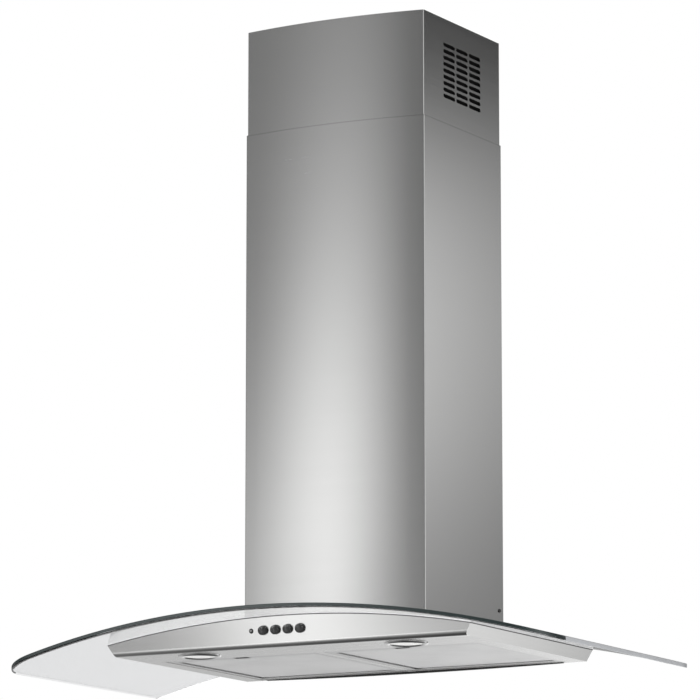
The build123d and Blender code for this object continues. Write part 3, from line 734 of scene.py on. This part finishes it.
@dataclass(frozen=True)
class GlassCanopy:
    """Bent glass sheet with rounded edges, on a silicone seal, with its screws and rubber bushes."""

    radius: float = 1.650
    thickness: float = 0.006
    bow: float = 0.026
    corner: float = 0.064
    arris: float = 0.0012
    arris_steps: int = 4
    front_turn: float = 0.12
    side_turn: float = 0.7
    notch_half: float = 0.1285
    notch_depth: float = 0.221
    wing_columns: int = 44
    middle_columns: int = 24
    back_rows: int = 12
    front_rows: int = 26

    def front(self, x: np.ndarray, half: float, depth: float) -> np.ndarray:
        """The front edge's y at each x: a wide arc that rounds into the sides.

        The wide arc is y = c - sqrt(R^2 - x^2). Past the tangent point the corner's own arc takes over.

        Args:
            x: places across the sheet.
            half: half the sheet's width, inside the arris.
            depth: the sheet's depth in the middle, inside the arris.

        Returns:
            y at each x.
        """
        wide = (half ** 2 + self.bow ** 2) / (2.0 * self.bow)
        middle = wide - depth
        round_r = self.corner - self.arris
        round_x = half - round_r
        round_y = middle - math.sqrt((wide - round_r) ** 2 - round_x ** 2)
        tangent = round_x * wide / (wide - round_r)
        bowed = middle - np.sqrt(wide ** 2 - np.minimum(np.abs(x), tangent) ** 2)
        rounded = round_y - np.sqrt(np.maximum(round_r ** 2 - (np.abs(x) - round_x) ** 2, 0.0))
        return np.where(np.abs(x) > tangent, rounded, bowed)

    def plan(self) -> tuple[np.ndarray, np.ndarray]:
        """The sheet's plan as a grid of columns from the back to the front edge.

        Returns:
            x and y of the grid.
        """
        low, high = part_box("glass_canopy")
        half, depth = high.x - self.arris, -low.y - self.arris
        notch = self.notch_half + self.arris
        back = self.notch_depth + self.arris
        ease = 1.0 - np.cos(np.linspace(0.0, QUARTER_TURN, self.wing_columns + 1))
        wing = -half + (half - notch) * ease
        middle = np.linspace(-notch, notch, self.middle_columns + 1)
        x = np.concatenate([wing, middle[1:-1], -wing[::-1]])
        behind = np.linspace(-self.arris, -back, self.back_rows + 1)
        share = np.linspace(0.0, 1.0, self.front_rows + 1)[1:]
        ahead = -back + (self.front(x, half, depth) + back)[:, None] * share
        y = np.concatenate([np.repeat(behind[None], len(x), 0), ahead], 1)
        return np.repeat(x[:, None], y.shape[1], 1), y

    def place(self, x: np.ndarray, y: np.ndarray, below: np.ndarray | float) -> np.ndarray:
        """Points of the arch: z = axis + sqrt((R - depth below the top)^2 - x^2)."""
        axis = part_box("glass_canopy")[1].z - self.radius
        return np.stack([x, y, axis + np.sqrt((self.radius - below) ** 2 - x ** 2)], -1)

    def sheet(self) -> None:
        """Two arched faces joined by a rim whose profile rounds both arrises by quarter circles."""
        x, y = self.plan()
        columns, rows = x.shape
        count = columns * rows
        index = np.arange(count).reshape(columns, rows)
        first, row = self.wing_columns, self.back_rows
        last = first + self.middle_columns
        top = np.concatenate([grid_quads(index[:first + 1]), grid_quads(index[last:]),
                              grid_quads(index[first:last + 1, row:])])
        loop = np.concatenate([
            index[0, :-1], index[:-1, -1], index[-1, :0:-1], index[:last:-1, 0], index[last, :row],
            index[last:first:-1, row], index[first, row:0:-1], index[first:0:-1, 0],
        ])
        flat = np.stack([x.ravel()[loop], y.ravel()[loop]], -1)
        way = np.roll(flat, -1, 0) - np.roll(flat, 1, 0)
        out = np.stack([way[:, 1], -way[:, 0]], -1) / np.linalg.norm(way, axis=1)[:, None]
        turn = np.linspace(0.0, QUARTER_TURN, self.arris_steps + 1)[1:]
        reach = self.arris * np.concatenate([np.sin(turn), np.sin(turn[::-1])])
        below = self.arris * (1.0 - np.cos(turn))
        below = np.concatenate([below, self.thickness - below[::-1]])
        rim = flat[None] + reach[:, None, None] * out[None]
        points = np.concatenate([
            self.place(x, y, 0.0).reshape(-1, 3), self.place(x, y, self.thickness).reshape(-1, 3),
            self.place(rim[..., 0], rim[..., 1], below[:, None]).reshape(-1, 3),
        ])
        rings = 2 * count + np.arange(rim.shape[0] * len(loop)).reshape(rim.shape[0], -1)
        rings = looped(np.concatenate([loop[None], rings, loop[None] + count]))
        walls = grid_quads(rings)[:, ::-1]
        ground = np.where(np.abs(out[:, 0]) > self.side_turn, GlassFace.GROUND, GlassFace.CLEAR)
        kind = np.where(-out[:, 1] > self.front_turn, GlassFace.FRONT, ground)
        strips = np.tile(kind, (rings.shape[0] - 1, 1))
        strips[self.arris_steps + 1:] = np.where(kind == GlassFace.FRONT, GlassFace.CLEAR, kind)
        slots = np.concatenate([np.full(2 * len(top), GlassFace.CLEAR), strips.ravel()])
        faces, finishes = (top, top[:, ::-1] + count, walls), (CLEAR_GLASS, FRONT_EDGE, GROUND_EDGE)
        add_piece("glass_sheet", points, faces, finishes, "root", ("glass_canopy",), slots)

    def build(self) -> None:
        """Build the sheet and dress what holds it."""
        self.sheet()
        dress(SHADED_GREY_SILICONE, ("glass_seal",))
        dress(BLACK_RUBBER, ("glass_bushes",))
        dress(SCREW_STEEL, ("glass_screws",))


@dataclass(frozen=True)
class SteelBody:
    """The shallow steel canopy with its controls, and a black rubber strip along its rear edge, put where
    the shadow gap behind the filters is.
    """

    buttons: tuple[str, ...] = ("light", "low", "medium", "high")
    rear_rim: float = 0.007
    shade_strip_half: float = 0.2500
    shade_strip_drop: float = 0.0030
    shade_strip_end: float = 0.25
    shade_strip_stations: int = 33
    shade_strip_round: float = 0.0009
    round_steps: int = 6
    wall_gap: float = 0.0005

    def rear_shade_strip(self) -> None:
        """A black rubber strip on the rear rim, rounded below, with a drop d = e + (1 - e)(1 - u^2); it
        stands for the shadow gap behind the filters.
        """
        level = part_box("bottom_frame")[0].z
        front, back = -self.rear_rim + self.wall_gap, -self.wall_gap
        low, r = -self.shade_strip_drop, self.shade_strip_round
        turn = np.linspace(0.0, QUARTER_TURN, self.round_steps)
        heel = np.stack([front + r - r * np.cos(turn), low + r - r * np.sin(turn)], -1)
        toe = np.stack([back - r + r * np.sin(turn), low + r - r * np.cos(turn)], -1)
        profile = np.concatenate([[[front, 0.0]], heel, toe, [[back, 0.0]]])
        along = np.linspace(-1.0, 1.0, self.shade_strip_stations)
        drop = self.shade_strip_end + (1.0 - self.shade_strip_end) * (1.0 - along ** 2)
        points, faces = drawn(profile, self.shade_strip_half * along, drop)
        # The strip's black rubber is painted shade: a dark piece where the shadow gap behind the filters
        # is.
        add_piece("rear_shade_strip", points + [0.0, 0.0, level], faces, (BLACK_RUBBER,), "root")

    def build(self) -> None:
        """Build the dark strip for the rear shadow gap, and dress sheets and controls."""
        self.rear_shade_strip()
        dress(UPRIGHT_STEEL, ("canopy_shell",))
        dress(PANEL_STEEL, ("front_panel",))
        dress(FLAT_STEEL, ("bottom_frame",))
        dress(BUTTON_PLASTIC, [f"button_{name}" for name in self.buttons])
        low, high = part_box("pilot_lens")
        tip = ((low.x + high.x) / 2.0, low.y, low.z + (high.x - low.x) / 2.0)
        dress(PilotLens("pilot_plastic", (0.02, 0.02, 0.02), 0.2, tip=tip), ("pilot_lens",))
        dress(BLACK_PLASTIC, ("switch_block",))


@dataclass(frozen=True)
class Chimney:
    """The two telescoping covers, their screws, louvres and the wall bracket."""

    shank: float = 0.0019
    shank_length: float = 0.008
    recess: float = 0.0009
    arm: float = 0.00042
    arm_reach: float = 0.0016
    edge: float = 0.00028
    dome_share: float = 0.12
    seat_share: float = 0.62
    brow_steps: int = 9
    face_steps: int = 22
    segments: int = 64

    def screw_profile(self, head: float) -> tuple[np.ndarray, np.ndarray]:
        """A pan head with a cross recess: the crown less a smooth step inside each arm of the cross.

        Args:
            head: the head's radius.

        Returns:
            r at each step, and h at each step and angle.
        """
        crown = self.shank
        half = crown / 2.0
        turn = np.linspace(0.0, QUARTER_TURN, self.brow_steps)
        brow = np.stack([head - half + half * np.sin(turn), half * np.cos(turn)], -1)[::-1]
        face = np.linspace(head - half, 0.0, self.face_steps)[1:]
        dome = half + self.dome_share * crown * (1.0 - (face / (head - half)) ** 2)
        foot = np.array([[0.0, -self.shank_length], [self.shank, -self.shank_length],
                         [self.shank, -half], [head, -half]])
        profile = np.concatenate([foot, brow, np.column_stack([face, dome])])
        angle = np.linspace(0.0, FULL_TURN, self.segments, endpoint=False)
        spread = np.abs(profile[:, 0, None, None] * np.stack([np.cos(angle), np.sin(angle)]))
        near, far = spread.min(1), spread.max(1)
        inside = np.clip((self.arm - near) / self.edge + 0.5, 0.0, 1.0)
        cut = inside * np.clip((self.arm_reach - far) / self.edge, 0.0, 1.0)
        cut[:len(foot)] = 0.0
        return profile[:, 0], profile[:, 1:] - self.recess * cut

    def screws(self) -> None:
        """Turn a screw about X at each side of the lower cover."""
        low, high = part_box("chimney_screws")
        radius, height = self.screw_profile((high.z - low.z) / 2.0)
        points, faces = [], []
        for x, way in ((high.x, 1.0), (low.x, -1.0)):
            seat = x - way * self.seat_share * self.shank
            place = (seat, (low.y + high.y) / 2.0, (low.z + high.z) / 2.0)
            more, blocks = lathed(radius, height, place, (way, 0.0, 0.0))
            faces += [block + sum(map(len, points)) for block in blocks]
            points.append(more)
        add_piece("chimney_screw_heads", np.concatenate(points), faces, (BLACK_STEEL,), "root",
                  ("chimney_screws",))

    def build(self) -> None:
        """Build the screws and dress the covers."""
        self.screws()
        dress(UPRIGHT_STEEL, ("upper_chimney",))
        # The lower cover carries painted shade just below its top edge, for the shaded joint with the
        # upper cover.
        joint_shaded = JointShadedSteel("brushed_steel_joint_shade", UPRIGHT_STEEL.colour, UPRIGHT_STEEL.roughness,
                             UPRIGHT_STEEL.metallic, anisotropy=UPRIGHT_STEEL.anisotropy,
                             rim=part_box("lower_chimney")[1].z)
        dress(joint_shaded, ("lower_chimney",))
        dress(LOUVRE_PLASTIC, [f"vent_louvre_{side}" for side in SIDES])
        dress(ZINC_SHEET, ("upper_bracket",))


@dataclass(frozen=True)
class Lamps:
    """Two round lamps in the strip ahead of the filters."""

    bulge: float = 0.0020
    edge_rise: float = 0.001
    edge_round: float = 0.0006
    dome_steps: int = 24
    round_steps: int = 5
    segments: int = 72

    def dish(self, side: str) -> None:
        """A lens turned about Z: a flat top, a wall and a dome of z = edge - bulge (1 - (r/R)^2).

        Args:
            side: left or right.
        """
        low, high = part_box(f"lamp_lens_{side}")
        wide = (high.x - low.x) / 2.0
        edge = low.z + self.edge_rise
        share = np.linspace(1.0 - self.edge_round / wide, 0.0, self.dome_steps)
        dome = np.column_stack([wide * share, self.bulge * (1.0 - share ** 2)])
        turn = np.linspace(0.0, QUARTER_TURN, self.round_steps)
        brow = np.column_stack([wide - self.edge_round * (1.0 - np.cos(turn)),
                                self.edge_round * (np.sin(turn) - 1.0)])
        foot = np.array([[0.0, edge - high.z], [wide, edge - high.z]])
        profile = np.concatenate([foot, brow[:-1], dome])
        height = np.repeat(profile[:, 1:], self.segments, 1)
        place = ((low.x + high.x) / 2.0, (low.y + high.y) / 2.0, edge)
        points, faces = lathed(profile[:, 0], height, place, (0.0, 0.0, -1.0))
        add_piece(f"lamp_dish_{side}", points, faces, (LAMP_GLASS,), "root",
                  (f"lamp_lens_{side}",))

    def build(self) -> None:
        """Build the lenses and dress rings and cups."""
        for side in SIDES:
            self.dish(side)
            dress(CHROME, (f"lamp_bezel_{side}",))
            dress(CAST_ALUMINIUM, (f"lamp_housing_{side}",))


@dataclass(frozen=True)
class GreaseFilters:
    """Two filters: a frame, a pack of foil with a pressed hem, and a finger latch each."""

    step: float = 0.003
    hem: float = 0.006
    hem_flat: float = 0.5
    hem_depth: float = 0.0006
    crown: float = 0.0005

    def foil(self, side: str) -> None:
        """A pack of foil: its lower face is low + crown (1 - sin u sin v), stepped up smoothly in the hem.

        Args:
            side: left or right.
        """
        low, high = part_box(f"filter_mesh_{side}")
        columns = round((high.x - low.x) / self.step) + 1
        rows = round((high.y - low.y) / self.step) + 1
        x, y = np.meshgrid(np.linspace(low.x, high.x, columns), np.linspace(low.y, high.y, rows),
                           indexing="ij")
        u, v = (x - low.x) / (high.x - low.x), (y - low.y) / (high.y - low.y)
        inward = np.minimum(np.minimum(x - low.x, high.x - x), np.minimum(y - low.y, high.y - y))
        step = np.clip(inward / self.hem - self.hem_flat, 0.0, 1.0)
        hem = self.hem_depth * (1.0 - step * step * (3.0 - 2.0 * step))
        rise = self.crown * (1.0 - np.sin(math.pi * u) * np.sin(math.pi * v))
        lower = np.stack([x, y, low.z + hem + rise], -1)
        upper = np.stack([x, y, np.full_like(x, high.z)], -1)
        index = np.arange(x.size).reshape(x.shape)
        loop = np.concatenate([index[:-1, 0], index[-1, :-1], index[:0:-1, -1], index[0, :0:-1]])
        rings = looped(np.stack([loop + x.size, loop]))
        faces = (grid_quads(index), grid_quads(index)[:, ::-1] + x.size, grid_quads(rings)[:, ::-1])
        points = np.concatenate([lower.reshape(-1, 3), upper.reshape(-1, 3)])
        add_piece(f"filter_foil_{side}", points, faces, (FILTER_FOIL,), f"{side}_filter",
                  (f"filter_mesh_{side}",))

    def build(self) -> None:
        """Build the foil packs and dress frames and latches."""
        for side in SIDES:
            self.foil(side)
            dress(FILTER_BAND, (f"filter_frame_{side}",))
            dress(LATCH_PLASTIC, (f"filter_latch_{side}",))


@dataclass(frozen=True)
class Blower:
    """The fan, its duct collar, the chassis that carries them, and the electrics."""

    def build(self) -> None:
        """Dress the inner pieces."""
        dress(ZINC_SHEET, ("motor_chassis", "motor_bracket"))
        dress(BLACK_PLASTIC, ("scroll_left", "scroll_right", "impeller", "cable_gland"))
        dress(GREY_PLASTIC, ("outlet_spigot", "damper_flap_rear", "damper_flap_front", "control_box",
                             "control_lid", "lamp_driver"))
        dress(CAST_ALUMINIUM, ("motor", "motor_capacitor"))
        dress(SCREW_STEEL, ("damper_pin", "motor_shaft"))


@dataclass(frozen=True)
class Patch:
    """A soft patch of light or, below zero, of shade on the screen, with its own reach up and down.

    It leans by some degrees per metre of height.
    """

    azimuth: float
    height: float
    spread: float
    rise: float
    fall: float
    power: float
    lean: float = 0.0

    def light(self, azimuth: np.ndarray, height: np.ndarray) -> np.ndarray:
        """A bell curve over the screen: power exp(-(off/spread)^2 / 2 - (up/reach)^2 / 2).

        Args:
            azimuth: places round the screen in degrees.
            height: their heights.

        Returns:
            The patch's light at each place.
        """
        up = height - self.height
        off = (azimuth - self.azimuth - self.lean * up + 180.0) % 360.0 - 180.0
        reach = np.where(up > 0.0, self.rise, self.fall)
        return self.power * np.exp(-0.5 * (off / self.spread) ** 2 - 0.5 * (up / reach) ** 2)


@dataclass(frozen=True)
class SoftLamp:
    """A square soft lamp that points at the hood: its place, watts and side."""

    name: str
    place: Triple
    power: float
    size: float

    def build(self) -> None:
        """Hang the lamp, unseen in mirrors."""
        data = bpy.data.lights.new(self.name, "AREA")
        data.energy = self.power
        data.size = self.size
        lamp = linked(self.name, data)
        lamp.location = self.place
        lamp.rotation_euler = (-lamp.location).to_track_quat("-Z", "Y").to_euler()
        lamp.visible_glossy = False


@dataclass(frozen=True)
class Studio:
    """Camera, lamps, white surround, floor, and the soft screen that the steel mirrors."""

    camera_place: Triple = (3.3366, -6.22625, -1.0999)
    camera_yaw: float = 28.959
    camera_pitch: float = 10.088
    lens: float = 244.255
    view_reach: float = 100.0
    soft_world: float = 0.45
    floor_level: float = -1.75
    floor_reach: float = 40.0
    screen_radius: float = 1.7
    screen_middle: float = -0.13
    screen_low: float = -1.6
    screen_high: float = 2.2
    screen_columns: int = 181
    screen_rows: int = 77
    front_light: float = 0.17
    back_light: float = 0.0
    low_light: float = 0.64
    low_level: float = -0.38
    low_blur: float = 0.10
    floor_light: float = 0.12
    floor_rings: int = 12
    floor_fall: float = 2.2
    least_light: float = 0.02
    dark_front: float = -1.75
    dark_back: float = -1.50
    dark_blur: float = 0.07
    patches: tuple[Patch, ...] = (
        # In the chimney's front: its bright band, the band's left side, and the shade to its right.
        Patch(-28.0, 0.03, 12.0, 0.42, 0.25, 1.30, 9.0),
        Patch(-46.0, -0.05, 10.0, 0.20, 0.25, 0.30),
        Patch(2.0, 0.40, 9.0, 1.00, 0.60, -0.22),
        # In the front panel, in the panel's image in the glass, and in the panel's rounded lip.
        Patch(-24.8, -0.57, 3.6, 0.20, 0.20, 1.45),
        Patch(-27.0, -1.00, 8.0, 0.17, 0.17, 1.60, 43.0),
        Patch(-25.0, -1.35, 20.0, 0.20, 0.60, 0.28),
        # In the chimney's side, with the shade at its top, and in the fold between front and side.
        Patch(133.0, 0.43, 11.5, 0.30, 0.32, 1.30),
        Patch(140.0, 1.08, 25.0, 0.50, 0.12, -0.95),
        Patch(62.0, 0.30, 14.0, 1.00, 1.00, 1.25),
        # In the canopy's right side and in the underside.
        Patch(146.0, -1.08, 8.0, 0.15, 0.20, 0.80),
        Patch(165.0, -0.80, 6.0, 0.20, 0.16, -1.00),
        Patch(-174.0, -0.65, 12.0, 0.25, 0.25, 0.72),
    )
    lamps: tuple[SoftLamp, ...] = (
        SoftLamp("key_lamp", (-2.6, -3.2, 1.6), 90.0, 2.4),
        SoftLamp("fill_lamp", (3.0, -2.4, 0.4), 50.0, 2.0),
        SoftLamp("low_lamp", (0.4, -1.8, -1.4), 25.0, 1.6),
    )

    def camera(self) -> None:
        """Put the camera at the photograph's viewing angle."""
        data = bpy.data.cameras.new("camera")
        data.lens = self.lens
        data.clip_end = self.view_reach
        camera = linked("camera", data)
        camera.location = self.camera_place
        pitch, yaw = math.radians(90.0 + self.camera_pitch), math.radians(self.camera_yaw)
        camera.rotation_euler = (pitch, 0.0, yaw)
        bpy.context.scene.camera = camera

    def surround(self) -> None:
        """A white world to the eye, in mirrors and through glass, and a calmer one for soft light."""
        world = bpy.data.worlds.new("surround")
        bpy.context.scene.world = world
        world.use_nodes = True
        g = Graph(world.node_tree)
        back = world.node_tree.nodes["Background"]
        back.inputs["Color"].default_value = WHITE
        g.feed(back.inputs["Strength"], g.span(g.seen(), 0.0, 1.0, self.soft_world, 1.0))

    def staged(self, name: str, points: np.ndarray, faces: np.ndarray,
               material: bpy.types.Material) -> bpy.types.Object:
        """Make a mesh that belongs to the studio.

        Args:
            name: its name.
            points: N by 3 places.
            faces: vertex numbers, one row per face.
            material: its material.

        Returns:
            The object.
        """
        mesh = bpy.data.meshes.new(name)
        mesh.from_pydata(points.tolist(), [], faces.tolist())
        mesh.materials.append(material)
        piece = linked(name, mesh)
        return piece

    def floor(self) -> None:
        """A pale floor that keeps the shadow."""
        r, z = self.floor_reach, self.floor_level
        corners = np.array([[-r, -r, z], [r, -r, z], [r, r, z], [-r, r, z]])
        self.staged("floor", corners, np.array([[0, 1, 2, 3]]), PALE_FLOOR.material())

    def screen_light(self, azimuth: np.ndarray, height: np.ndarray, radius: np.ndarray) -> np.ndarray:
        """A plain front, a brighter low back and the patches, less towards the floor's middle.

        Args:
            azimuth: places round the screen in degrees.
            height: their heights.
            radius: their distance from the screen's axis.

        Returns:
            The light at each place.
        """
        behind = np.sin(np.radians(azimuth) / 2.0) ** 2
        light = self.front_light + (self.back_light - self.front_light) * behind
        above = 1.0 + np.exp((height - self.low_level) / self.low_blur)
        light = light + self.low_light * behind / above
        light = light + sum(patch.light(azimuth, height) for patch in self.patches)
        dark = self.dark_front + (self.dark_back - self.dark_front) * behind
        out = radius / self.screen_radius
        share = out ** self.floor_fall / (1.0 + np.exp((dark - height) / self.dark_blur))
        return np.maximum(light * share + self.floor_light * np.sqrt(out), self.least_light)

    def screen(self) -> None:
        """A round cup of soft light, seen in mirrors alone: x = r sin a, y = middle - r cos a."""
        wall = np.linspace(self.screen_low, self.screen_high, self.screen_rows)
        level = np.append(np.full(self.floor_rings, self.screen_low), wall)
        around = np.linspace(-180.0, 180.0, self.screen_columns)
        azimuth, height = np.meshgrid(around, level, indexing="ij")
        turn = np.radians(azimuth)
        inner = np.linspace(0.0, self.screen_radius, self.floor_rings, endpoint=False)
        radius = np.append(inner, np.full(len(wall), self.screen_radius))
        x, y = radius * np.sin(turn), self.screen_middle - radius * np.cos(turn)
        points = np.stack([x, y, height], -1)
        material = bpy.data.materials.new("soft_screen")
        material.use_nodes = True
        g = Graph(material.node_tree)
        glow = g.add("Emission", {"Strength": g.add("Attribute", attribute_name="light").outputs["Fac"]})
        g.show(glow)
        faces = grid_quads(np.arange(azimuth.size).reshape(azimuth.shape))
        piece = self.staged("soft_screen", points.reshape(-1, 3), faces, material)
        light = self.screen_light(azimuth, height, radius)
        piece.data.attributes.new("light", "FLOAT", "POINT").data.foreach_set("value", light.ravel())
        for ray in ("camera", "diffuse", "transmission", "shadow", "volume_scatter"):
            setattr(piece, f"visible_{ray}", False)

    def build(self) -> None:
        """Set up the studio."""
        bpy.context.scene.view_settings.view_transform = "Standard"
        self.camera()
        self.surround()
        self.floor()
        self.screen()
        for lamp in self.lamps:
            lamp.build()


def main() -> None:
    """Build the studio and every sub-assembly in order."""
    logging.basicConfig(level=logging.INFO, format="%(name)s %(message)s")
    assemblies = (Studio(), GlassCanopy(), SteelBody(), Chimney(), Lamps(), GreaseFilters(), Blower())
    for assembly in assemblies:
        log.info("building %s", type(assembly).__name__)
        assembly.build()


if __name__ == "__main__":
    main()
